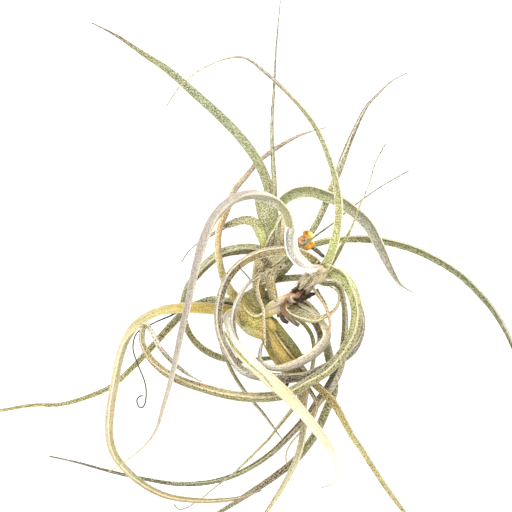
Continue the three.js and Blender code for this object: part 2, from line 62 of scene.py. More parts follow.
cameraSetup = {
    "lens": 1000,            # a very long lens, so that high leaves hardly shift against low ones
    "sensor": 36,
    "viewWidth": 256 * mm,   # how much of the plant is in view, at the height below
    "focusHeight": 40 * mm,
    "aim": (10.19 * mm, 6.75 * mm),  # from the middle of the clump
    "farthest": 50,
}
lightSetup = {
    "world": 1.45,
    "softboxes": {"key_softbox": ((-0.35, 0.75, 1.0), 11), "fill_softbox": ((0.8, 0.3, 1.1), 5.5)},
    "softboxSize": 0.6,
    "exposure": 0.0,
}
tableSetup = {"size": 9, "glow": 0.12, "roughness": 0.9}
white = (1, 1, 1, 1)
paintGain = 0.87  # the light is bright enough to burn the table out, so all paint is darkened by this


def startMaterial(name, sockets):
    material = bpy.data.materials.new(name)
    material.use_nodes = True
    shader = material.node_tree.nodes["Principled BSDF"]
    for socket, value in sockets.items():
        shader.inputs[socket].default_value = value
    return material, material.node_tree, shader


# White paper, matt and even. It gives the eye a plain bright table.
def makeFloor():
    bpy.ops.mesh.primitive_plane_add(size=tableSetup["size"])
    floor = bpy.context.object
    floor.name = "paper_table"
    floor.data.materials.append(startMaterial("white paper", {
        "Base Color": white, "Roughness": tableSetup["roughness"],
        "Emission Color": white, "Emission Strength": tableSetup["glow"]})[0])
    floor.select_set(False)


def makeLights():
    world = bpy.data.worlds.new("studio")
    bpy.context.scene.world = world
    world.use_nodes = True
    world.node_tree.nodes["Background"].inputs["Color"].default_value = white
    world.node_tree.nodes["Background"].inputs["Strength"].default_value = lightSetup["world"]
    for name, (place, power) in lightSetup["softboxes"].items():
        bpy.ops.object.light_add(type="AREA", location=place)
        lamp = bpy.context.object
        lamp.name = name
        lamp.data.energy = power
        lamp.data.size = lightSetup["softboxSize"]
        lamp.rotation_euler = (-Vector(place)).to_track_quat("-Z", "Y").to_euler()
        lamp.select_set(False)


def makeCamera():
    bpy.ops.object.camera_add()
    camera = bpy.context.object
    camera.data.lens = cameraSetup["lens"]
    camera.data.sensor_width = cameraSetup["sensor"]
    camera.data.clip_end = cameraSetup["farthest"]
    distance = cameraSetup["viewWidth"] * cameraSetup["lens"] / cameraSetup["sensor"]
    aimX, aimY = cameraSetup["aim"]
    camera.location = (middle.x + aimX, middle.y + aimY, cameraSetup["focusHeight"] + distance)
    camera.select_set(False)
    bpy.context.scene.camera = camera
    bpy.context.scene.view_settings.view_transform = "Standard"
    bpy.context.scene.view_settings.exposure = lightSetup["exposure"]


def linear(hexText):
    parts = [int(hexText[k:k + 2], 16) / 255 for k in (0, 2, 4)]
    return tuple(p / 12.92 if p <= 0.04045 else ((p + 0.055) / 1.055) ** 2.4 for p in parts) + (1,)


def addNode(tree, kind, settings=None, inputs=None, stops=None, out=0):
    node = tree.nodes.new("ShaderNode" + kind)
    for name, value in (settings or {}).items():
        setattr(node, name, value)
    for key, value in (inputs or {}).items():
        if isinstance(value, bpy.types.NodeSocket):
            tree.links.new(value, node.inputs[key])
        else:
            node.inputs[key].default_value = value
    if stops:
        ramp = node.color_ramp
        while len(ramp.elements) < len(stops):
            ramp.elements.new(0.5)
        for element, (position, colour) in zip(ramp.elements, stops):
            element.position = position
            element.color = colour
    return node.outputs[out]


# the colours of living, ageing and dead leaf skin
palette = {
    "white": "f6f3ea", "silver": "ccc6b4", "grey": "9f9880", "lilac": "b0a69c", "mist": "a9aa98",
    "shell": "c9bcae", "burnt": "552c1b", "purple": "83766c", "plum": "6c6056",
    "pinkbeige": "d2bba0", "beige": "d3c594", "cream": "ece3c2", "pale": "ded2a6",
    "straw": "dacf8e", "golden": "cdb24c", "tan": "b39b62", "rust": "a0684a", "lime": "c4c684",
    "spring": "c4cd80", "yellowgreen": "bdb84a", "leafGreen": "9fa775", "moss": "97913f",
    "fern": "86906a", "ochre": "c4ab5a", "sage": "a9a87e", "green": "858b4e", "olive": "8c843e",
    "deepGreen": "5a6336", "umber": "7a6749", "brown": "66522f", "dark": "3f3826",
    "black": "1d120d", "peach": "e6b57c", "apricot": "e0bf8c",
}


# what the painted shade toward the keel, the veins and the pits between scales darken the skin by
darkening = {"keel": "938a70", "vein": "a0966a", "pits": "82704a"}


def paint(name):
    return tuple(value * paintGain for value in linear(palette[name])[:3]) + (1,)


def colourStops(text):
    # "lime 10, sage 25-40, green": each colour with the percents of the length where it starts and
    # ends. A colour with none stands at its even place in the list, so the last is at the tip.
    entries = text.split(", ")
    stops = []
    for number, entry in enumerate(entries):
        name, *percents = entry.replace("-", " ").split()
        shares = [float(percent) / 100 for percent in percents] or [number / (len(entries) - 1)]
        stops += [(share, paint(name)) for share in shares]
    return stops


def valueAlong(values, share):
    # an eased value between those given at percents of the length; a plain number holds all along
    if not isinstance(values, dict):
        return values
    placed = [(percent / 100, value) for percent, value in values.items()]
    for (low, before), (high, after) in zip(placed, placed[1:]):
        if share <= high:
            t = max(0, (share - low) / (high - low))
            return before + (after - before) * t * t * (3 - 2 * t)
    return placed[-1][1]


# the layers that each leaf's mesh carries for its skin, from 0 to 1: keel marks where shade is painted on
# the outside toward the keel, and crease the bottom of the channel
skinParts = ("edge", "channel", "keel", "crease")


# Scurfy leaf skin: waxy tissue under a coat of silvery scales. It gives the eye a fine pale
# speckle, light rims either side of the channel and no sharp gloss.
def leafSkin(name, look, length):
    # the scales' sheen catches light along the outline
    material, tree, shader = startMaterial(name, {
        "Roughness": 0.6, "Specular IOR Level": 0.3, "Sheen Weight": look["sheen"], "Sheen Roughness": 0.4})
    place = addNode(tree, "TexCoord", out=3)
    uv = addNode(tree, "UVMap", {"uv_map": "leafMap"})
    along = addNode(tree, "SeparateXYZ", inputs={0: uv})
    edge, channel, keel, crease = (
        addNode(tree, "Attribute", {"attribute_name": part}, out=2) for part in skinParts)
    outside = addNode(tree, "ValToRGB", inputs={0: along}, stops=colourStops(look["outside"]))
    inside = addNode(tree, "ValToRGB", inputs={0: along}, stops=colourStops(look["inside"]))
    # slow patches, about 9 mm across; veins that run the length of the leaf; and scales, drawn about
    # 0.6 mm apart, coarser than the real 0.2 mm so that they show
    slow = addNode(tree, "TexNoise", inputs={"Vector": place, "Scale": 110, "Detail": 3})
    stretched = addNode(tree, "Mapping", inputs={"Vector": uv, "Scale": (length * 70, 30, 1)})
    streak = addNode(tree, "TexNoise", inputs={"Vector": stretched, "Scale": 1, "Detail": 2})
    grain = addNode(tree, "TexNoise", inputs={"Vector": place, "Scale": look["grain"], "Detail": 2})

    # how strongly each shows: from none at the low value of its pattern to the look's own at the high
    amounts = {}
    for part, pattern, low, high in (
        ("keel", keel, 0.3, 1), ("patch", slow, 0.42, 0.7), ("vein", streak, 0.4, 0.7),
        ("scurf", grain, 0.5, 0.58), ("pits", grain, 0.5, 0.4), ("rim", grain, 0.3, 0.5),
    ):
        amounts[part] = addNode(tree, "MapRange", inputs={0: pattern, 1: low, 2: high, 4: look[part]})
    # a line down the bottom of the channel, painted shade in the brown of most leaves and the leaf's own
    # mid-line where a look gives it another colour, and rims edged with a broken line of paler scales
    gaps = addNode(tree, "MapRange", inputs={
        0: grain, 1: 0.6, 2: 0.42, 3: 0.35 * look["crease"], 4: look["crease"]})
    fold = addNode(tree, "MapRange", inputs={0: crease, 1: 1 - look["creaseWidth"], 4: gaps})
    rim = addNode(tree, "Math", {"operation": "MULTIPLY"}, {0: edge, 1: amounts["rim"]})

    colour = outside
    for blend, amount, layer in (
        ("MIX", channel, inside),
        # painted shade on the outside wall toward the keel
        ("MULTIPLY", amounts["keel"], linear(darkening["keel"])),
        ("MIX", amounts["patch"], paint(look["patchColour"])),
        ("MULTIPLY", amounts["vein"], linear(darkening["vein"])),
        ("MIX", amounts["scurf"], paint(look["scurfColour"])),
        ("MULTIPLY", amounts["pits"], linear(darkening["pits"])),
        # the channel's bottom line: painted shade in brown, the leaf's own mid-line in other colours
        ("MIX", fold, paint(look["creaseColour"])),
        ("MIX", rim, paint(look["rimColour"])),
    ):
        settings = {"data_type": "RGBA", "blend_type": blend}
        colour = addNode(tree, "Mix", settings, {0: amount, 6: colour, 7: layer}, out=2)
    tree.links.new(colour, shader.inputs["Base Color"])

    relief = addNode(tree, "Math", {"operation": "MULTIPLY_ADD"}, {0: grain, 1: 0.6, 2: streak})
    bump = addNode(tree, "Bump", inputs={"Height": relief, "Strength": 0.5, "Distance": 0.35 * mm})
    tree.links.new(bump, shader.inputs["Normal"])
    return material


def mergedCopy(nodeName):
    shape = bmesh.new()
    shape.from_mesh(frame["nodes"][nodeName].data)
    bmesh.ops.remove_doubles(shape, verts=shape.verts, dist=0.002 * mm)
    return shape


def layersFrom(tip, sides):
    # rings of a leaf, found by walking its edges away from the tip
    seen = {tip}
    layers = []
    front = [tip]
    while front:
        following = []
        for vert in front:
            for link in vert.link_edges:
                other = link.other_vert(vert)
                if other not in seen:
                    seen.add(other)
                    following.append(other)
        if len(following) != sides:
            seen.difference_update(following)
            break
        layers.append(following)
        front = following
    return layers, seen


def sectionOf(ring):
    # a leaf section has five corners, and only the one in the channel is hollow
    ordered = [ring[0]]
    while len(ordered) < len(ring):
        others = [link.other_vert(ordered[-1]) for link in ordered[-1].link_edges]
        ordered.append(next(vert for vert in others if vert in ring and vert not in ordered))
    points = [vert.co.copy() for vert in ordered]
    count = len(points)
    centre = sum(points, Vector()) / count
    normal = Vector()
    for k in range(count):
        normal += (points[k] - centre).cross(points[(k + 1) % count] - centre)
    turns = []
    for k in range(count):
        before = points[k] - points[k - 1]
        after = points[(k + 1) % count] - points[k]
        turns.append(before.cross(after).dot(normal) / (before.length * after.length))
    hollow = turns.index(min(turns))
    rimA, rimB = points[hollow - 1], points[(hollow + 1) % count]
    keel = (points[(hollow + 2) % count] + points[(hollow + 3) % count]) / 2
    centre = ((rimA + rimB) / 2).lerp(keel, leafShape["centre"])
    return {"at": centre, "width": (rimB - rimA).length}


def readLeaf(nodeName, sides=5):
    # the run of a leaf from its CAD solid: one more station inside the shoot and one at the tip
    shape = mergedCopy(nodeName)
    found = []
    for vert in shape.verts:
        if len(vert.link_edges) == sides:
            layers, seen = layersFrom(vert, sides)
            found.append((len(layers), vert.index, vert, layers, seen))
    tip, layers, seen = max(found, key=lambda entry: entry[:2])[2:]
    stations = [sectionOf(layer) for layer in reversed(layers)]
    cutEnd = [vert.co.copy() for vert in shape.verts if vert not in seen]
    end = {"at": tip.co.copy(), "width": leafShape["tipWidth"]}
    shape.free()
    seat = sum(cutEnd, Vector()) / len(cutEnd)
    inward = (seat - stations[0]["at"]).normalized()
    root = {"at": seat + inward * leafShape["rootDepth"], "width": stations[0]["width"]}
    return [root] + stations + [end]


def catmull(a, b, c, d, t):
    # a smooth way from b to c that also heeds a and d
    return 0.5 * (2 * b + (c - a) * t + (2 * a - 5 * b + 4 * c - d) * t ** 2
                  + (3 * b - a - 3 * c + d) * t ** 3)


def refine(chain, step):
    # the same run of stations a step apart, each with a level across and an up
    fine = []
    for k in range(len(chain) - 1):
        around = [chain[max(k - 1, 0)], chain[k], chain[k + 1], chain[min(k + 2, len(chain) - 1)]]
        span = (around[2]["at"] - around[1]["at"]).length
        parts = max(1, round(span / step))
        for part in range(parts):
            t = part / parts
            fine.append({
                "at": catmull(*[entry["at"] for entry in around], t),
                "width": around[1]["width"] * (1 - t) + around[2]["width"] * t,
            })
    fine.append(dict(chain[-1]))
    travelled = 0
    for k, station in enumerate(fine):
        if k:
            travelled += (station["at"] - fine[k - 1]["at"]).length
        station["run"] = travelled
    for k, station in enumerate(fine):
        ahead = (fine[min(k + 1, len(fine) - 1)]["at"] - fine[max(k - 1, 0)]["at"]).normalized()
        station["across"] = ahead.cross(Vector((0, 0, 1))).normalized()
        station["up"] = station["across"].cross(ahead)
    return fine


leafShape = {
    "step": 1.1 * mm,
    "centre": 0.48,         # how far the middle of a CAD leaf is from its rims to its keel
    "rootDepth": 1.6 * mm,  # how far a leaf runs on inside its shoot
    "tipWidth": 0.4 * mm,
    "breadth": 1.08,        # the scales make a leaf look broader than its flesh
    "depth": 0.46,          # keel below the rims, in leaf widths
    "thickness": 0.15,      # of the flesh, in leaf widths
    "rimDegrees": 10,       # how much of the half-round section is rim, at each side
    "flare": 0.3,           # how much the base widens into its sheath
    "flareLength": 5 * mm,
    "waver": 0.05,          # unevenness of the width
    "waverLength": 7 * mm,
    "wander": 9,            # unevenness of the roll, in degrees
    "wanderLength": 22 * mm,
    "flutter": 0.05,        # unevenness of the surface, in leaf widths
    "flutterLength": 8 * mm,
    "thinnest": 0.75 * mm,
    "slimBelow": 2.5 * mm,  # leaves narrower than this flutter less
}


def leafProfile():
    # across, up, edge, channel: one closed outline, in leaf widths
    sweep = [0, 5, 13, 24, 38, 55, 72, 90, 108, 125, 142, 156, 167, 175, 180]
    depth, thickness = leafShape["depth"], leafShape["thickness"]
    outer, inner = [], []
    for degrees in sweep:
        angle = math.radians(degrees)
        rim = max(0.0, 1 - min(degrees, 180 - degrees) / leafShape["rimDegrees"])
        outer.append((0.5 * math.cos(angle), -depth * math.sin(angle) ** 0.9, rim, 0.0))
        drop = (depth - thickness) * math.sin(angle) ** 1.1
        inner.append(((0.5 - thickness * 0.6) * math.cos(angle), 0.02 - drop, rim, 1.0))
    return outer + inner[::-1]


def turnedProfile(profile, degrees):
    # the outline rolled about the leaf, then scaled so that it looks one leaf width across
    angle = math.radians(degrees)
    cosine, sine = math.cos(angle), math.sin(angle)
    turned = [(x * cosine - y * sine, x * sine + y * cosine) for x, y, rim, side in profile]
    low, floor = (min(values) for values in zip(*turned))
    high, roof = (max(values) for values in zip(*turned))
    span = high - low
    return [((x - (low + high) / 2) / span, (y - (floor + roof) / 2) / span) for x, y in turned]


def startSkin():
    # an empty shape with the map and the layers that leafSkin reads
    shape = bmesh.new()
    uvLayer = shape.loops.layers.uv.new("leafMap")
    layers = [shape.verts.layers.float.new(part) for part in skinParts]
    return shape, uvLayer, layers


def joinRings(shape, uvLayer, rings, fine):
    # walls between rings of corners, mapped along the leaf and round it
    count = len(rings[0])
    for low in range(len(rings) - 1):
        high = low + 1
        for k in range(count):
            following = (k + 1) % count
            face = shape.faces.new((
                rings[low][k], rings[low][following], rings[high][following], rings[high][k]))
            face.smooth = True
            for loop, (index, v) in zip(face.loops, ((low, k), (low, k + 1), (high, k + 1), (high, k))):
                loop[uvLayer].uv = (fine[index]["run"] / fine[-1]["run"], v / count)


def finishPiece(shape, name):
    bmesh.ops.recalc_face_normals(shape, faces=shape.faces)
    mesh = bpy.data.meshes.new(name)
    shape.to_mesh(mesh)
    shape.free()
    piece = bpy.data.objects.new(name, mesh)
    bpy.context.collection.objects.link(piece)
    return piece


def buildLeaf(name, fine, turns, seed, widths=1, flat=1):
    profile = leafProfile()
    count = len(profile)
    shape, uvLayer, (edgeLayer, channelLayer, keelShadeLayer, creaseLayer) = startSkin()
    total = fine[-1]["run"]
    rings = []
    for station in fine[:-1]:
        run = station["run"]
        flare = 1 + leafShape["flare"] * math.exp(-run / leafShape["flareLength"])
        waver = 1 + leafShape["waver"] * noise.noise(Vector((run / leafShape["waverLength"], seed, 0)))
        width = station["width"] * leafShape["breadth"] * flare * (valueAlong(widths, run / total) * waver)
        width = max(width, leafShape["thinnest"])
        slim = min(1, width / leafShape["slimBelow"])
        wander = leafShape["wander"] * noise.noise(Vector((run / leafShape["wanderLength"], seed, 4)))
        turned = turnedProfile(profile, valueAlong(turns, run / total) + wander)
        ring = []
        for (x, y), (across, up, rim, side) in zip(turned, profile):
            ripple = noise.noise(Vector((run / leafShape["flutterLength"], seed + 3 * x, 3)))
            rise = y + leafShape["flutter"] * ripple * slim
            vert = shape.verts.new(
                station["at"] + station["across"] * (x * width) + station["up"] * (rise * width * flat))
            vert[edgeLayer] = rim
            vert[channelLayer] = side
            # where shade is painted on the outside wall, deepest at the keel
            vert[keelShadeLayer] = min(1.0, -up / leafShape["depth"]) * (1 - side)
            # the middle of the channel floor, where the crease line is painted: shade in brown, the leaf's
            # own mid-line in other colours
            vert[creaseLayer] = side * (1 - 2 * abs(across))
            ring.append(vert)
        rings.append(ring)
    tip = shape.verts.new(fine[-1]["at"])
    joinRings(shape, uvLayer, rings, fine)
    for k in range(count):
        face = shape.faces.new((rings[-1][k], rings[-1][(k + 1) % count], tip))
        face.smooth = True
        for loop in face.loops:
            loop[uvLayer].uv = (1, (k + 0.5) / count)
    base = shape.faces.new(rings[0][::-1])
    for loop in base.loops:
        loop[uvLayer].uv = (0, 0.5)
    bmesh.ops.triangulate(shape, faces=[base])
    return finishPiece(shape, name)


def leafPiece(name, chain, look, seed, step=leafShape["step"], flat=1):
    fine = refine(chain, step)
    piece = buildLeaf(name, fine, look["turns"], seed, look["widths"], flat)
    piece.data.materials.append(leafSkin(name.replace("_", " "), look, fine[-1]["run"]))
    return piece


stemShape = {"lumpLength": 6 * mm, "lumpScale": 1.3}


def buildStem(name, fine, seed, sides=20, lumps=0.1):
    # a round stem, a little lumpy, closed at both ends
    shape, uvLayer = startSkin()[:2]
    rings = []
    for station in fine:
        ring = []
        for k in range(sides):
            angle = 2 * math.pi * k / sides
            cosine, sine = math.cos(angle), math.sin(angle)
            spot = (station["run"] / stemShape["lumpLength"], cosine * stemShape["lumpScale"],
                    sine * stemShape["lumpScale"] + seed)
            lump = noise.noise(Vector(spot))
            reach = station["width"] / 2 * (1 + lumps * lump)
            ring.append(shape.verts.new(
                station["at"] + station["across"] * cosine * reach + station["up"] * sine * reach))
        rings.append(ring)
    joinRings(shape, uvLayer, rings, fine)
    caps = [shape.faces.new(ring) for ring in (rings[0][::-1], rings[-1])]
    for cap in caps:
        cap.smooth = True
        for loop in cap.loops:
            loop[uvLayer].uv = (0.5, 0.5)
    bmesh.ops.triangulate(shape, faces=caps)
    return finishPiece(shape, name)


# outside and inside: colours along the leaf. turns: how far it is rolled, in degrees, where 0 shows
# its channel, 90 its right wall and 180 its keel. widths: how much wider it looks than its solid.
# keel: how strongly shade is painted on the outside toward the keel. crease: the line down the channel's
# bottom, painted shade in brown, the leaf's own mid-line in other colours
plainLook = {
    "patch": 0.14, "patchColour": "brown", "vein": 0.4, "scurf": 0.42, "scurfColour": "cream", "pits": 0.9,
    "rim": 0.9, "rimColour": "cream", "keel": 0.4, "grain": 1750, "sheen": 0.3,
    "crease": 0.3, "creaseColour": "brown", "creaseWidth": 0.32,
    "turns": 180, "widths": 1, "slot": "dried_brown",
}
leafLooks = {
    "silver_arch_leaf": {
        "outside": "white, silver 12, sage 14-19, silver 23, lilac 28-62, shell 75, beige",
        "inside": "white, silver 12, sage 14-20, silver 24-60, cream 80",
        "turns": {0: 20, 13: 40, 16: 28, 20: 40, 26: 70, 32: 84, 50: 94},
        "widths": {0: 0.5, 12: 0.45, 14.5: 0.6, 18: 0.85, 24: 1.05, 35: 1.15, 50: 1.3, 75: 1.35, 100: 1.1},
        "rim": 0.6, "patch": 0.04, "pits": 0.55, "vein": 0.25, "scurf": 0.1, "creaseColour": "grey",
        "creaseWidth": 0.4,
    },
    "tall_arch_leaf": {
        "outside": "lime 10, sage 25, tan 50, purple 60-72, beige 82, sage",
        "inside": "spring 8, lime 15, leafGreen 30, sage 45, lilac 60, silver 75, straw 85, sage",
        "turns": {0: 20, 20: 34, 45: 45, 60: 65, 100: 78},
    },
    "upper_thread_leaf": {
        "outside": "lime, leafGreen 35, lilac 55, purple 75", "inside": "lime 40, silver 60, purple",
        "turns": 39, "rim": 0.5,
    },
    "green_loop_leaf": {
        "outside": "lime, spring 7, moss 15-25, olive 35, moss 50, olive 62, tan 72-80, white 86, "
                   "purple 90, silver",
        "inside": "lime, spring 7, lime 15, sage 25-40, beige 50, tan 60, beige 75, white 84, grey 90, "
                  "silver",
        "turns": {0: -20, 8: -64, 22: -74, 34: -74, 45: -76, 65: -72, 80: -60, 100: -70},
        "widths": {0: 1, 70: 1, 80: 1.2, 85: 1.5, 95: 1.6, 100: 1}, "rim": 0.75,
    },
    "grey_spiral_leaf": {
        "outside": "tan 10, lilac 22-34, shell 40, white 46, purple 52, plum 57-68, purple 76-84, grey",
        "inside": "beige, straw 6, beige 12, tan 18, umber 25, grey 36, silver 44, white 50, lilac 68, "
                  "silver 80, tan",
        "turns": {0: 12, 7: 20, 11: 52, 35: 66, 50: 74, 58: 92, 70: 92, 80: 66, 100: 75},
        "widths": {0: 1, 40: 1.05, 58: 1.15, 68: 1.15, 76: 1.25, 85: 1.2, 100: 0.7},
    },
    "dark_trailing_leaf": {
        "outside": "sage 10, olive 20, lilac 28, tan 34, purple 42, green 55, deepGreen 70, dark 85",
        "inside": "sage, olive 15, grey 30, olive 45, deepGreen 60, umber 85, dark",
        "turns": {0: -65, 30: -72, 60: -80, 80: -95}, "rim": 0.45,
    },
    "lower_green_leaf": {
        "outside": "sage 20, green 35-55, umber 70, grey 85, green", "inside": "sage, green 20, sage",
        "turns": {0: -52, 30: -120},
    },
    "lower_straw_leaf": {
        "outside": "golden, moss 20, straw 35-85, tan", "inside": "golden, straw 30, cream 70, tan",
        "turns": {0: -52, 30: -65, 50: -39, 75: -65, 100: -78}, "widths": {0: 0.5, 30: 0.5, 42: 1},
        "pits": 0.6,
    },
    "inner_curl_leaf": {
        "outside": "lime, sage 20, straw 45, tan 70, sage", "inside": "straw, sage 20, beige 40-70, sage",
        "turns": {0: 52, 40: 66, 100: 78},
    },
    "peach_thread_leaf": {
        "outside": "umber, tan 25, apricot 45, rust 65-85, silver",
        "inside": "umber, moss 30, apricot 50, cream", "turns": 70, "widths": {0: 1.2, 100: 1.3},
        "rim": 0.6,
    },
    "beige_curl_leaf": {
        "outside": "beige 20, shell 40-60, silver 72, lilac 85",
        "inside": "sage, green 12, umber 20-34, beige 44-70, silver 85, purple",
        "turns": {0: -52, 20: -62, 30: -72, 42: -90, 75: -84, 100: -78},
        "widths": {0: 1, 15: 1.2, 30: 1.45, 42: 1.15, 70: 1.2}, "pits": 0.5,
    },
    "long_left_leaf": {
        "outside": "sage, green 10, sage 16, lime 26, deepGreen 30, green 35, moss 45",
        "inside": "sage, lime 26, sage 30, olive 40, moss",
        "turns": {0: 118, 20: 110, 30: 84, 42: 104, 100: 108},
    },
    "golden_loop_leaf": {
        "outside": "golden 12, straw 20, beige 27, pale 34, pinkbeige 48, beige 60, tan 72-88, umber",
        "inside": "straw, golden 18, cream 28, pale 48, beige 56, sage 68, tan 80, umber",
        "turns": {0: 118, 20: 112, 32: 72, 45: 66, 60: 68, 75: 66, 100: 75}, "pits": 0.4, "scurf": 0.2,
    },
    "tan_hook_leaf": {
        "outside": "golden, straw 12-20, apricot 28-42, pinkbeige 50-58, shell 70-80, silver 90",
        "inside": "golden, straw 20, beige 40-55, silver 75", "turns": {0: 120, 30: 106, 60: 100, 100: 110},
        "widths": {0: 1, 20: 1.05, 30: 1.3, 50: 1.3, 70: 1.1, 100: 1}, "pits": 0.75, "scurf": 0.25,
    },
    "grey_narrow_leaf": {"outside": "grey, moss 30, sage 60, grey", "inside": "sage, sage", "turns": 65},
    "cream_front_leaf": {
        "outside": "cream 20, pale 40, pinkbeige 60, cream 75, white 90, lilac",
        "inside": "straw 6, white 10-28, cream 40, pale 50, cream 60-76, white 84-94, shell",
        "turns": {0: 48, 15: 44, 50: 36, 80: 26, 100: 30},
        "widths": {0: 0.2, 7: 0.28, 12: 0.5, 20: 0.8, 30: 0.9, 50: 1}, "patch": 0, "scurf": 0.25,
        "pits": 0.35, "keel": 0.1, "vein": 0.25, "creaseColour": "straw", "creaseWidth": 0.16,
    },
    "broad_upper_leaf": {
        "outside": "sage, leafGreen 15, fern 35-55, green 72, umber 88, plum", "inside": "lime, sage",
        "turns": {0: 190, 30: 152}, "patch": 0.06, "keel": 0.25, "pits": 0.7,
    },
    "upright_leaf": {
        "outside": "leafGreen, fern 20, grey 40, plum 60", "inside": "sage, fern 40, grey 70", "turns": 78,
        "rim": 0.5,
    },
    "right_arch_leaf": {
        "outside": "sage 30, silver 50", "inside": "leafGreen 30, sage 42, mist 52-70, lilac 80, mist 90",
        "turns": {0: -22, 30: -26, 60: -20}, "widths": {0: 1.1, 30: 1.2, 60: 1.3, 85: 1.2, 100: 1},
        "pits": 0.6, "crease": 0.12,
    },
    "small_left_curl_leaf": {
        "outside": "lime 12, sage 25, green 40, olive 50, dark 60, grey 72, green",
        "inside": "lime, sage 30, deepGreen 50, silver 70, grey",
        "turns": {0: 150, 25: 120, 50: 78, 100: 65},
    },
    "left_spiral_leaf": {
        "outside": "lime, leafGreen 10, sage 25, green 40, moss 55, green 70-85, olive",
        "inside": "sage 25, green 50, olive", "turns": {0: 71, 20: 78, 45: 84, 58: 108, 80: 112, 100: 120},
    },
    "upper_right_leaf": {
        "outside": "lime, leafGreen 20, sage 38, grey 52, plum 62",
        "inside": "lime, leafGreen 40, grey 60, purple", "turns": {0: 130, 30: 110, 60: 78},
        "widths": {0: 1.1, 50: 1.2, 100: 1.1},
    },
    "thin_right_leaf": {
        "outside": "green 40, purple 70", "inside": "green, grey 60, purple", "turns": 78, "rim": 0.3,
    },
    "long_right_leaf": {
        "outside": "sage, beige 25, green 40, grey 50, umber 60, brown 68, green 74, grey",
        "inside": "lime, spring 12, leafGreen 26, green 40, fern 60-80, green",
        "turns": {0: -60, 25: -42, 60: -40, 80: -55, 100: -60}, "crease": 0.15,
    },
    "lower_right_leaf": {
        "outside": "olive, tan 15, pinkbeige 50, tan 80", "inside": "moss, ochre 20, straw 40-80, tan",
        "turns": {0: -80, 20: -40}, "widths": {0: 1.1, 30: 1.3, 70: 1.3, 100: 1.2}, "crease": 0.1,
        "rim": 0.4,
    },
    "reddish_thread_leaf": {"outside": "tan, rust 30, tan 60, umber", "inside": "tan, tan", "turns": 65},
    "thin_lower_leaf": {
        "outside": "olive, straw 30, leafGreen 60, sage", "inside": "straw, sage", "turns": 65,
    },
    "dark_short_leaf": {"outside": "dark, umber 50, deepGreen", "inside": "dark, olive", "turns": 65},
    "centre_curl_leaf": {
        "outside": "pale 20, beige 36, pinkbeige 50, pale 62, cream 75, white",
        "inside": "dark, tan 5, beige 20-50, cream 70, white", "turns": {0: 130, 30: 118, 100: 104},
        "widths": {0: 0.95, 15: 0.9, 30: 0.75, 42: 0.95, 50: 1.3, 66: 1.3, 78: 1},
    },
    "grey_short_leaf": {
        "outside": "cream, shell 30, silver 60-85, lilac",
        "inside": "cream, shell 40, lilac 60, purple 80, dark", "turns": 65, "pits": 0.5, "vein": 0.2,
    },
    "curly_tendril_leaf": {
        "outside": "brown, dark 30", "inside": "dark, dark", "turns": 78, "rim": 0, "scurf": 0.1,
    },
}


def makeLeaf(name, seed):
    piece = leafPiece(name + "_skin", readLeaf(name), {**plainLook, **leafLooks[name]}, seed)
    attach(piece, "root")
    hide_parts(name)


# routes here are in mm from the heart of the plant: x, y, z and width
heart = middle + Vector((15.19, -19.25, -43.07)) * mm


def chainOf(route):
    return [{"at": heart + Vector((x, y, z)) * mm, "width": size * mm} for x, y, z, size in route]


def readShoot(nodeName, slices=4 * mm):
    # centres and widths of a shoot, in slices along its longest way
    shape = mergedCopy(nodeName)
    points = [vert.co.copy() for vert in shape.verts]
    shape.free()
    centre = sum(points, Vector()) / len(points)
    endA = max(points, key=lambda p: (p - centre).length)
    endB = max(points, key=lambda p: (p - endA).length)
    direction = (endB - endA).normalized()
    length = (endB - endA).length
    count = int(length / slices)
    chain = []
    for k in range(count):
        # the slices overlap a little, so that the last one takes in the far end
        inside = [p for p in points if k <= (p - endA).dot(direction) / length * count < k + 1.001]
        at = sum(inside, Vector()) / len(inside)
        reach = sum((p - at - direction * (p - at).dot(direction)).length for p in inside) / len(inside)
        chain.append({"at": at, "width": reach * 2})
    return chain


coreLooks = {
    "upper_shoot": {"outside": "sage, green, sage, beige, straw", "slim": 0.9},
    "lower_shoot": {"outside": "moss, moss, moss, moss", "slim": 0.42},
    "left_shoot": {"outside": "golden, olive, olive, golden", "slim": 0.75},
    "right_shoot": {"outside": "beige, pinkbeige, shell, peach, cream, straw", "slim": 0.76, "vein": 0.5},
}
# sheath skin has fewer scales than leaf skin, most of all low on the shoots
sheathLooks = {
    "upper_shoot": {"scurf": 0.35, "pits": 0.7, "sheen": 0.25},
    "lower_shoot": {"scurf": 0.25, "pits": 0.45},
    "left_shoot": {"scurf": 0.3, "pits": 0.5},
    "right_shoot": {"scurf": 0.15, "pits": 0.35},
}
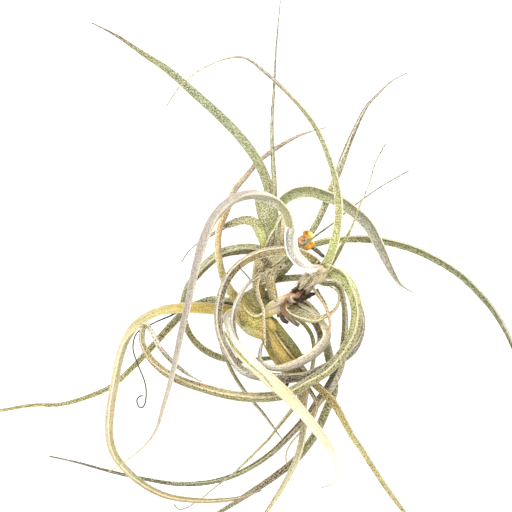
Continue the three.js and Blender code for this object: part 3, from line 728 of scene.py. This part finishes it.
# sheaths: the wide bases of leaves, wrapped one over another round a shoot
sheaths = {
    "upper_shoot": [
        {"route": [[0.2, 17, 47, 5], [0.2, 23, 48.5, 6.6], [0.8, 29, 49, 6.6], [1.6, 36.5, 47.5, 6.6],
                   [1, 43, 45.5, 7.8], [0, 49, 43.5, 9], [-0.6, 54.4, 42.5, 9.6], [0, 59, 41.5, 4]],
         "outside": "golden, tan, tan, sage, green, sage, leafGreen, leafGreen"},
        {"route": [[2.5, 19, 48, 4], [3.6, 24, 50, 5], [5.8, 30, 50.5, 5.8], [6.6, 36.5, 49.5, 5.6],
                   [7.2, 43, 47.5, 4.2], [8.8, 47.5, 46.5, 2]], "outside": "moss, sage 20",
         "turns": {0: 185, 100: 170}, "vein": 0.8},
        {"route": [[0.8, 26.5, 49, 2.2], [-0.2, 30.5, 51, 3.4], [-1.6, 34.5, 50.5, 4.2],
                   [-3.6, 38.5, 48, 4.4], [-6.4, 41.6, 45, 2.4]], "outside": "yellowgreen 25, lime 50",
         "turns": {0: 180, 100: 165}, "scurf": 0.2},
        {"route": [[0.6, 27, 51.6, 1.6], [1.6, 31, 52.2, 2.6], [2.8, 35, 52, 2.4], [3.4, 39, 50.6, 1.4]],
         "outside": "dark, plum, grey, green", "patch": 0.5, "rim": 0.2},
        {"route": [[-0.3, 31, 52.6, 0.7], [2, 36, 53, 0.9], [5, 41, 52, 1], [7.6, 46, 50, 0.8]],
         "outside": "lime, cream, lime, cream"},
        {"route": [[4.4, 32, 52.8, 0.6], [5, 37, 52.6, 0.8], [5.6, 42, 51.6, 0.8], [6.4, 46.5, 49.6, 0.6]],
         "outside": "olive, sage, cream, sage"},
        {"route": [[7.6, 29.5, 50.5, 1.6], [8, 34, 51, 1.8], [8.4, 39, 50, 2], [8.6, 45.5, 48, 1.6]],
         "outside": "dark, tan, pinkbeige, cream", "turns": {0: 140, 100: 130}, "rimColour": "white"},
        {"route": [[1, 14, 43, 4], [5, 17.5, 44.5, 6], [9, 20.5, 45, 6], [13.5, 23.5, 44.5, 2.4]],
         "outside": "olive, green, sage, leafGreen"},
        {"route": [[0.5, 16.5, 49.5, 3], [5, 21.5, 51.5, 4.2], [9.5, 26, 51, 3], [12, 28.5, 49, 1.4]],
         "outside": "olive, sage, sage, sage", "turns": {0: 170, 100: 200}},
        {"route": [[-2.5, 4, 44, 3], [-2.4, 11, 46, 4], [-2, 17, 47.5, 4.6], [-1, 25, 48.5, 4.4]],
         "outside": "moss, ochre, moss, tan"},
        {"route": [[-5.6, 9, 48, 1.4], [-5.8, 15, 50.4, 2.2], [-5, 22, 51.4, 2.6], [-3.6, 28.6, 51.4, 2]],
         "outside": "straw, straw, cream, straw", "turns": 165, "rim": 0.4},
        {"route": [[-4, 12, 50.6, 2.6], [-3.8, 17, 52, 4], [-3, 21, 52.6, 4.6], [-1.8, 25.5, 52.4, 4.4],
                   [-0.2, 31, 51.6, 2]], "outside": "beige, tan, beige, tan, sage", "rim": 0, "patch": 0.5,
         "patchColour": "umber", "pits": 1, "scurf": 0.5},
        {"route": [[3.4, 18.4, 53, 0.6], [2.6, 20.4, 53.6, 1.8], [1, 22.2, 53.8, 3.2],
                   [-1, 24.2, 53.4, 2.2], [-3, 25.2, 52.6, 0.6]], "outside": "umber 25, brown 50, umber 75",
         "rim": 0, "patch": 0.6, "scurf": 0.3},
        {"route": [[-1, 17.5, 53, 0.6], [3, 21, 53.8, 0.8], [7, 24.2, 53.2, 0.8], [10.5, 27.6, 51, 0.6]],
         "outside": "cream, straw, cream, sage"},
        {"route": [[2.5, 15.5, 50.5, 0.7], [7, 18.6, 50.6, 0.9], [12, 22.6, 48.6, 0.7]],
         "outside": "straw, cream, sage"},
    ],
    "left_shoot": [
        {"route": [[-12, 6, 45, 4], [-8, 3, 47, 8], [-4, 0.8, 47.5, 8], [1, 3, 46, 5]],
         "outside": "moss, moss, moss, olive"},
        {"route": [[-1, 8, 42, 3], [0.6, 5, 44, 5.5], [1.4, 0, 45, 5], [1.6, -5, 44, 3]],
         "outside": "olive, deepGreen, green, olive"},
        {"route": [[-15, 1.5, 48, 4], [-12, -4.4, 51, 7], [-7.6, -9, 51.6, 8], [-2.4, -12, 51.4, 7],
                   [2.4, -15.6, 48.6, 4]], "outside": "sage, straw, lime, ochre, ochre", "patch": 0.3,
         "rim": 0.3},
        {"route": [[-16.5, 8.5, 51, 1.8], [-13.4, 2, 52.4, 5], [-9.6, -4, 52.6, 7.4],
                   [-4.5, -7.4, 52.4, 8.4], [0.4, -8.6, 51.4, 8], [4, -10, 48.6, 5]],
         "outside": "olive, golden, ochre, yellowgreen, ochre, ochre",
         "turns": {0: 205, 100 / 3: 195, 200 / 3: 185}, "pits": 0.9, "vein": 0.6, "rim": 0.3},
        {"route": [[-12.8, 3.4, 53.2, 0.7], [-9.4, -1.6, 54.4, 0.8], [-6, -4, 55, 0.9],
                   [-2.4, -3, 54.6, 0.9], [-0.2, -0.4, 53.6, 0.7]], "outside": "cream, straw, cream, cream"},
        {"route": [[-12.8, -5.8, 52.4, 1], [-11.4, -7.6, 53.4, 2], [-9.8, -9.2, 53.4, 1]],
         "outside": "moss, brown, moss", "rim": 0},
        {"route": [[0.4, -5.6, 53, 2], [2.8, -8.6, 53.6, 3.6], [4.6, -12, 52.4, 2]],
         "outside": "ochre, golden, ochre", "rim": 0, "patch": 0.3},
    ],
    "lower_shoot": [
        {"route": [[-1.2, -8, 47, 4], [0.3, -14, 46, 5.2], [3.4, -20.5, 45, 6], [8.4, -28, 43, 6.2],
                   [13, -34, 40, 5]], "outside": "golden, moss, golden, straw, olive",
         "turns": {0: 180, 100: 175}, "vein": 0.8},
        {"route": [[2.6, -6.6, 47.6, 4], [5.8, -11.2, 48, 5.2], [9.6, -16.4, 47.4, 6],
                   [13.4, -22, 45.6, 6.6], [18, -28.4, 42, 5.6]],
         "outside": "golden, moss, green, moss, olive", "turns": {0: 180, 100: 185}},
        {"route": [[-0.4, -7, 50.6, 3.6], [0.8, -12, 51.4, 4.2], [4, -18, 51, 5], [8.6, -24.5, 49, 6],
                   [14, -31, 45.5, 5.6]], "outside": "golden, ochre, golden, ochre, golden",
         "turns": {0: 185, 100: 180}, "vein": 0.8},
        {"route": [[-0.6, -12.5, 51.2, 0.5], [1.6, -18, 51.8, 0.7], [5.6, -24.4, 50.6, 0.8],
                   [10.2, -30, 47.8, 0.6]], "outside": "brown, umber, tan, straw", "rim": 0},
        {"route": [[4, -11.6, 51.8, 0.6], [6, -15, 52.4, 0.9], [8.6, -18.6, 51.8, 1], [12, -22.8, 50.2, 1],
                   [15.8, -27.2, 47.8, 0.8]], "outside": "ochre, ochre, straw, ochre, golden"},
        {"route": [[0.2, -11, 52.2, 0.7], [1.2, -15, 52.6, 0.9], [2.8, -20, 52, 0.7]],
         "outside": "umber, brown, umber", "rim": 0},
        {"route": [[4.8, -10.6, 52, 0.5], [6.8, -14, 52.6, 0.7], [9.4, -17.6, 52, 0.9],
                   [12.8, -21.8, 50.4, 0.9], [16.6, -26.2, 48.2, 0.6]],
         "outside": "umber, brown, burnt, brown, umber", "rim": 0, "patch": 0},
    ],
    "right_shoot": [
        {"route": [[-2, -4, 53, 1.4], [0.6, -0.8, 54.8, 1.4], [4.4, 1.4, 57, 1.6], [8.6, 3.6, 58.8, 1.6],
                   [12.4, 6, 60.2, 1.2]], "outside": "straw, pinkbeige, pinkbeige, rust",
         "turns": {0: 180, 100: 175}},
        {"route": [[2.4, -3.2, 53.4, 1.2], [6.8, -1.2, 55.4, 1.6], [10.6, 1.8, 57.6, 1.4],
                   [13, 3.6, 58.4, 1.2]], "outside": "apricot, apricot, peach, rust",
         "turns": {0: 180, 100: 190}},
        {"route": [[-2.5, -4.2, 52, 2.4], [2, -2.2, 54.5, 3.6], [6.5, 0.4, 56, 4.2], [10.5, 3.6, 57, 3.2]],
         "outside": "golden, straw, pinkbeige, apricot", "turns": {0: 185, 100: 170}},
        {"route": [[-1.2, -3.4, 52.4, 1.4], [1.2, 0.4, 54, 2.6], [5.5, 3, 56, 3.8], [10, 5, 58, 3.6],
                   [13.5, 7.2, 60.5, 2.4]], "outside": "straw, straw, cream, apricot, rust",
         "turns": {0: 170, 100: 190}},
        {"route": [[17, 9.5, 60, 3.6], [20, 12.3, 63, 6], [23, 15.4, 65.4, 6.6], [26, 18.6, 66.8, 6],
                   [28.6, 21.2, 66.6, 2.6]], "outside": "umber, pinkbeige, shell, pinkbeige, pale",
         "vein": 1, "patch": 0.3, "patchColour": "tan"},
        {"route": [[10.5, 3.4, 58.5, 2.4], [13.5, 5, 60, 4], [16.5, 6.4, 61.5, 3.2], [19, 7.4, 62, 1.4]],
         "outside": "burnt, pinkbeige, rust, burnt", "patch": 0.5, "patchColour": "burnt"},
        {"route": [[7.6, 1.4, 58.2, 0.6], [9.4, 3, 59.6, 0.9], [10.4, 5.4, 60.2, 0.8]],
         "outside": "rust, brown, umber", "rim": 0},
    ],
}


def makeShoot(name, seed):
    chain = readShoot(name)
    for station in chain:
        station["width"] *= coreLooks[name]["slim"]
    plain = {**plainLook, "keel": 0.0, "sheen": 0.15, **sheathLooks[name]}
    core = buildStem(name + "_core", refine(chain, 1.5 * mm), seed)
    look = {**plain, "inside": "olive, olive", **coreLooks[name]}
    core.data.materials.append(leafSkin(name + " core", look, 50 * mm))
    pieces = [core]
    for number, sheath in enumerate(sheaths[name]):
        look = {**plain, "inside": sheath["outside"], **sheath}
        pieces.append(leafPiece(
            "%s_sheath_%d" % (name, number + 1), chainOf(sheath["route"]), look, seed + number, flat=0.6))
    for piece in pieces:
        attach(piece, "root")
    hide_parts(name)


# lengths, widths, axes and reaches in mm. A reach is from the axis, at its low end, and how much
# more it is at the high end.
driedSetup = {
    "seed": 11,
    "shreds": 34,
    "shredLength": (3, 6.5),
    "shredWidth": (0.9, 2.4),
    "shredStep": 1.2 * mm,
    "collarAxis": ((14.5, 5.6, 56.5), (21.8, 10.6, 60.8)),
    "collarReach": (2.3, 1.2),
    "collarLength": 10,
    "fibres": 150,
    "fibreLength": (2, 5),
    "fibreWidth": 0.6,
    "fibreStep": 1.5 * mm,
    "fibreAxis": ((18, 10.5, 60.5), (27.5, 19.8, 65.8)),
    "fibreReach": (2.9, 0.9),
    "coatLength": 13,
}


def joinPieces(pieces, name):
    bpy.ops.object.select_all(action="DESELECT")
    for piece in pieces:
        piece.select_set(True)
    bpy.context.view_layer.objects.active = pieces[0]
    bpy.ops.object.join()
    joined = bpy.context.object
    joined.name = name
    joined.select_set(False)
    return joined


def aroundAxis(axis, share, angle, reach):
    low, high = (Vector(end) for end in axis)
    direction = (high - low).normalized()
    level = direction.cross(Vector((0, 0, 1))).normalized()
    lift = level.cross(direction)
    return low.lerp(high, share) + level * math.cos(angle) * reach + lift * math.sin(angle) * reach


def dryLooks(kinds, changes):
    return [leafSkin(kind, {**plainLook, "outside": colours, "inside": colours, **changes}, 8 * mm)
            for kind, colours in kinds.items()]


def dryRoute(axis, width, taper, placeAt):
    # four stations from placeAt, which gives the share of the axis, the angle and the reach of each
    route = []
    for t in (0, 1 / 3, 2 / 3, 1):
        share, angle, reach = placeAt(t)
        route.append([*aroundAxis(axis, share, angle, reach), width * (1 - taper * t)])
    return chainOf(route)


def makeShreds():
    # torn dead bracts that wrap the right shoot: dark curls and paler broken ends
    draw = random.Random(driedSetup["seed"])
    skins = dryLooks({"dead bract": "dark, burnt, black", "torn bract": "burnt, umber, beige",
                      "bract edge": "black, dark, burnt", "papery bract": "rust, peach, apricot"},
                     {"scurf": 0.0, "vein": 0.5, "patch": 0.4, "patchColour": "burnt", "pits": 0.4,
                      "keel": 0.1, "rim": 0.4, "rimColour": "peach", "sheen": 0.05})
    shreds = []
    for number in range(driedSetup["shreds"]):
        share = draw.random() ** 0.9
        length = draw.uniform(*driedSetup["shredLength"])
        width = draw.uniform(*driedSetup["shredWidth"])
        angle = draw.uniform(0.05, 1.15) * math.pi
        sweep = draw.uniform(-0.8, 0.8)
        near, more = driedSetup["collarReach"]
        reach = near + more * share
        chain = dryRoute(driedSetup["collarAxis"], width, 0.65, lambda t: (
            share + (t - 0.5) * length / driedSetup["collarLength"],
            angle + sweep * t,
            reach + draw.uniform(-0.3, 0.7) + 0.8 * t * t))
        kind = draw.choice([0, 0, 1, 2, 2]) if share > 0.25 else draw.choice([1, 3, 3, 0])
        turns = {0: draw.uniform(0, 180), 100: draw.uniform(0, 180)}
        strip = buildLeaf("shred_%d" % number, refine(chain, driedSetup["shredStep"]), turns, number)
        strip.data.materials.append(skins[kind])
        shreds.append(strip)
    shreds = joinPieces(shreds, "dried_collar_shreds")
    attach(shreds, "root")
    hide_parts("dried_collar")


def makeFibres():
    # the worn end of the right shoot: a coat of straw-coloured fibres that point both ways
    draw = random.Random(driedSetup["seed"] + 1)
    skins = dryLooks({"pale fibre": "pale, cream", "brown fibre": "umber, tan",
                      "straw fibre": "pinkbeige, pale"},
                     {"patch": 0.0, "rim": 0.0, "pits": 0.2, "vein": 0.1, "keel": 0.0})
    fibres = []
    for number in range(driedSetup["fibres"]):
        share = draw.random()
        angle = draw.uniform(-0.15, 1.15) * math.pi
        length = draw.uniform(*driedSetup["fibreLength"]) * draw.choice([-1, 1, 1])
        near, more = driedSetup["fibreReach"]
        reach = near + more * share
        chain = dryRoute(driedSetup["fibreAxis"], driedSetup["fibreWidth"], 0.5, lambda t: (
            share + t * length / driedSetup["coatLength"],
            angle + draw.uniform(-0.12, 0.12),
            reach + 0.5 * t + draw.uniform(-0.1, 0.3)))
        strand = buildStem("fibre_%d" % number, refine(chain, driedSetup["fibreStep"]), number, sides=5)
        strand.data.materials.append(skins[draw.choice([0, 0, 1, 2])])
        fibres.append(strand)
    fibres = joinPieces(fibres, "shoot_fibres")
    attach(fibres, "root")


# round pieces: the green parts of the flower, and two dead stubs
flowerGreen = {
    "flower_stalk": {
        "route": [[6, 26, 49, 2], [10, 29.5, 51.5, 1.9], [14, 32, 53, 1.9], [17.4, 33.4, 53.8, 2.2]],
        "outside": "green, sage, olive, sage",
    },
    "flower_cup": {
        "route": [[17.2, 33, 53.4, 2.2], [18.4, 32.4, 54.6, 3.6], [19.6, 31.6, 55.4, 3],
                  [20.8, 30.6, 55.6, 2]], "outside": "olive, deepGreen, grey, green",
    },
}
greenStem = {"step": 0.7, "seed": 9, "lumps": 0.2, "span": 14}
deadStem = {"step": 0.8, "seed": 3, "lumps": 0.25, "span": 18, "vein": 0.9, "scurf": 0.1, "patch": 0.3}
stubs = {
    "dried_stub_1": {
        "route": [[8, 2.2, 57, 2.6], [8.6, -1.2, 60, 2.6], [11, -4.4, 61.8, 2.5], [13.8, -6.8, 63, 2.3],
                  [16.4, -8.6, 63.8, 2]], "outside": "rust, umber, rust, umber, umber, deepGreen",
    },
    "dried_stub_2": {
        "route": [[7.8, -2, 54, 1.6], [8, -4.8, 56, 2.2], [9.2, -6.4, 57.4, 2.4], [11, -7.2, 58.2, 1.6]],
        "outside": "umber, brown, dark, dark",
    },
}
# dead strips of old leaf and other trimmings, and two dark strips of painted shade in a curl, with no solid
# of their own
strands = {
    "dried_strand": {
        "route": [[4.6, 19.4, 57.5, 1.8], [2.4, 16.4, 58.4, 2.8], [1.7, 13, 58.2, 3.2],
                  [2.6, 9.2, 57.4, 2.8], [4, 5.5, 56.4, 2], [5.4, 2.6, 55.4, 1.2]],
        "outside": "tan, pale, tan, ochre, beige, straw", "turns": {0: 140, 100: 120}, "pits": 1,
    },
    "dried_web": {
        "route": [[-3.8, 16.6, 56.6, 2], [-1.6, 15.4, 57.2, 4.4], [0.8, 14.6, 57, 3], [2, 14.4, 56.6, 1]],
        "outside": "beige, pinkbeige, beige, tan", "pits": 1, "patch": 0.5, "patchColour": "umber",
    },
    "web_edge": {
        "route": [[-4.2, 11.6, 57.4, 0.5], [-1.6, 12.4, 58, 0.8], [1.4, 13.4, 57.6, 0.6]],
        "outside": "pale, cream, pale",
    },
    "curl_edge": {
        "route": [[-7.6, 13, 58.6, 0.6], [-5, 14.6, 59.4, 0.9], [-2, 16.6, 59.6, 1],
                  [1.6, 18.6, 59.4, 1.1], [5.2, 20.6, 57.6, 1], [7.8, 21.4, 55.4, 0.6]],
        "outside": "cream, pale, cream, pale, cream",
    },
    "curl_shade": {
        "route": [[1.6, 15.6, 58.6, 0.5], [4, 17.8, 58, 0.7], [6.4, 18.8, 56, 0.7], [8.6, 19.4, 54, 0.5]],
        "outside": "brown, umber, brown", "rim": 0,
    },
    # a black strip of painted shade in the curl's hollow
    "curl_hollow_shade": {
        "route": [[6.6, 20.6, 54.6, 0.6], [7.3, 20.5, 55.2, 1.1], [8.1, 20.3, 54.6, 0.6]],
        "outside": "black, dark", "rim": 0, "scurf": 0,
    },
    "cream_leaf_edge": {
        "route": [[-21, -11.5, 61, 0.7], [-17.2, -17.5, 63.2, 1.1], [-12.2, -23.5, 66.6, 1.2],
                  [-6.8, -29, 70, 1], [-1.6, -33.5, 71.6, 1], [3.6, -39.6, 72.6, 0.6]],
        "outside": "lime, yellowgreen, lime, straw", "slot": "cream_leaf", "patch": 0, "rim": 0.2,
    },
    "silver_fold": {
        "route": [[26.6, 20.8, 80, 1.2], [23, 19.8, 81.4, 3.2], [20.2, 20.6, 81.6, 4.8],
                  [17, 23.2, 81.2, 5.4], [14.2, 26.4, 81.4, 5.6], [12.8, 30, 82.4, 5.9],
                  [12.4, 34, 83.6, 6.1], [12.4, 37.3, 84.4, 6], [12.8, 39.4, 84.4, 5], [13, 40.2, 84, 3.4]],
        "outside": "pale, white 20", "turns": {0: 40, 30: -4, 60: -14, 100: -10}, "slot": "silver_leaf",
        "rimColour": "white", "patch": 0, "pits": 0.35, "vein": 0.2, "scurfColour": "white", "crease": 0.9,
        "creaseColour": "grey", "creaseWidth": 0.36,
    },
    "fold_channel": {
        "route": [[19.6, 20.6, 83.2, 0.7], [16.4, 22.4, 83, 1.2], [13.4, 25.6, 83, 1.7],
                  [11.8, 29.4, 84, 1.8], [11.5, 33.4, 85, 2], [11.8, 36.6, 85.8, 2.1],
                  [12.7, 39.4, 85.6, 1.6]], "outside": "silver, lilac, silver, mist, mist, silver",
        "slot": "silver_leaf", "rimColour": "white", "rim": 0.6, "scurf": 0.7, "scurfColour": "white",
        "pits": 0.6, "grain": 2300,
    },
    "dark_sepal": {
        "route": [[22, 31, 55.4, 1.2], [25.2, 28.8, 57, 2], [28, 26.4, 58, 1.8], [29.4, 25.1, 58.2, 0.8]],
        "outside": "deepGreen, dark, deepGreen", "turns": 120, "slot": "green_leaf",
    },
    "loose_thread": {
        "route": [[-13.4, 20.4, 66.5, 0.7], [-10.4, 17.2, 62, 0.6], [-7.8, 14.2, 57, 0.6]],
        "outside": "deepGreen, dark", "turns": 80, "rim": 0,
    },
}


def makeStems(stems, plain):
    for name, stem in stems.items():
        look = {**plainLook, "inside": stem["outside"], **plain, **stem}
        fine = refine(chainOf(stem["route"]), look["step"] * mm)
        piece = buildStem(name + "_skin", fine, look["seed"], sides=14, lumps=look["lumps"])
        piece.data.materials.append(leafSkin(name.replace("_", " "), look, look["span"] * mm))
        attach(piece, "root")
        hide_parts(name)


def makeStrands():
    for name, strand in strands.items():
        look = {**plainLook, "inside": strand["outside"], **strand}
        piece = leafPiece(name, chainOf(strand["route"]), look, seed=6, step=0.8 * mm)
        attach(piece, "root")


# each petal: where it is and how big, in mm from the heart, how far it is curled and how it is turned,
# its colours from the folds out, and the CAD petal that it stands for
petals = {
    "rolled_petal": {"at": (19.4, 37.5, 56.6), "size": (7.6, 2.6), "curl": 330, "turn": (25, 15, 20),
                     "colours": ["c98a18", "dc9a20", "efbd3e"], "stands": "petal_1"},
    "yellow_petal": {"at": (22.2, 36.4, 55.6), "size": (4.2, 3.4), "curl": 80, "turn": (150, 20, 40),
                     "colours": ["e9b943", "f3df7e", "f7ecb0"], "stands": "petal_3"},
    "brown_petal": {"at": (17.2, 33.6, 56.0), "size": (3.8, 3.8), "curl": 120, "turn": (165, -10, 25),
                    "colours": ["a3602c", "c68650", "dcae80"]},
    "peach_petal": {"at": (19.0, 35.4, 57.0), "size": (5.0, 2.4), "curl": 110, "turn": (170, 0, 10),
                    "colours": ["c48c54", "deb080", "eed2a8"]},
    "orange_petal": {"at": (21.2, 30.8, 57.0), "size": (3.6, 3.8), "curl": 150, "turn": (160, 10, 70),
                     "colours": ["cc7c12", "e39a14", "efb230"], "stands": "petal_2"},
    "small_petal": {"at": (22.9, 32.2, 56.4), "size": (2.6, 3.4), "curl": 70, "turn": (150, -20, 85),
                    "colours": ["dd9a2a", "f1c75a", "f5dc90"]},
}
petalShape = {
    "narrowing": 0.35, "crumple": 0.18, "crumples": 5, "ragged": 0.35, "tears": 9, "flare": 0.5,
    "thickness": 0.22, "shade": 0.8,
}


# Wilted petal: papery tissue, crumpled and half see-through. It gives the eye warm, uneven
# orange with lighter folds and no shine.
def petalSkin(name, colours):
    material, tree, shader = startMaterial(name, {
        "Roughness": 0.7, "Subsurface Weight": 0.15, "Subsurface Radius": (0.001, 0.0005, 0.0002)})
    place = addNode(tree, "TexCoord", out=3)
    folds = addNode(tree, "TexNoise", inputs={"Vector": place, "Scale": 420, "Detail": 3})
    shade = petalShape["shade"]
    shades = [tuple(value * shade for value in linear(colour)[:3]) + (1,) for colour in colours]
    blotch = addNode(tree, "ValToRGB", inputs={0: folds}, stops=list(zip((0.36, 0.5, 0.66), shades)))
    tree.links.new(blotch, shader.inputs["Base Color"])
    fine = addNode(tree, "TexNoise", inputs={"Vector": place, "Scale": 1600, "Detail": 2})
    bump = addNode(tree, "Bump", inputs={"Height": fine, "Strength": 0.6, "Distance": 0.2 * mm})
    tree.links.new(bump, shader.inputs["Normal"])
    return material


def makePetal(name, petal):
    bpy.ops.mesh.primitive_grid_add(x_subdivisions=22, y_subdivisions=14, size=1)
    piece = bpy.context.object
    piece.name = name
    width, length = petal["size"]
    curl = math.radians(petal["curl"])
    radius = width / curl
    for vert in piece.data.vertices:
        x, y = vert.co.x, vert.co.y
        angle = x * curl * (1 - petalShape["narrowing"] * (y + 0.5) ** 2)
        crumple = petalShape["crumple"] * noise.noise(Vector((
            x * petalShape["crumples"], y * petalShape["crumples"], petal["at"][0])))
        reach = radius * (1 + crumple) + petalShape["flare"] * y * y
        tear = noise.noise(Vector((x * petalShape["tears"], 2, petal["at"][1])))
        ragged = petalShape["ragged"] * tear * max(0, y)
        vert.co = (math.sin(angle) * reach, (y + ragged) * length, radius - math.cos(angle) * reach)
    solid = piece.modifiers.new("flesh", "SOLIDIFY")
    solid.thickness = petalShape["thickness"]
    solid.offset = 0
    bpy.ops.object.modifier_apply(modifier="flesh")
    piece.rotation_euler = [math.radians(angle) for angle in petal["turn"]]
    piece.scale = (mm, mm, mm)
    piece.location = heart + Vector(petal["at"]) * mm
    bpy.ops.object.transform_apply(location=True, rotation=True, scale=True)
    bpy.ops.object.shade_smooth()
    piece.select_set(False)
    piece.data.materials.append(petalSkin(name.replace("_", " "), petal["colours"]))
    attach(piece, "root")
    if "stands" in petal:
        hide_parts(petal["stands"])


makeFloor()
makeLights()
makeCamera()
slotOf = {part["node"]: part["material_slot"] for part in frame["record"]["subparts"]}
leafNames = [name for name in slotOf if name.endswith("_leaf")]
# seeds stand apart, so that no two pieces are uneven in the same way
leafSeedGap, firstShootSeed, shootSeedGap = 7.3, 200, 5.1
for number, name in enumerate(leafNames):
    makeLeaf(name, number * leafSeedGap)
print("leaves made:", len(leafNames))
for number, name in enumerate(sheaths):
    makeShoot(name, firstShootSeed + number * shootSeedGap)
print("shoots made:", len(sheaths))
makeShreds()
makeFibres()
makeStems(stubs, deadStem)
makeStrands()
print("dried bits made")
for name, petal in petals.items():
    makePetal(name, petal)
makeStems(flowerGreen, greenStem)
print("flower made")
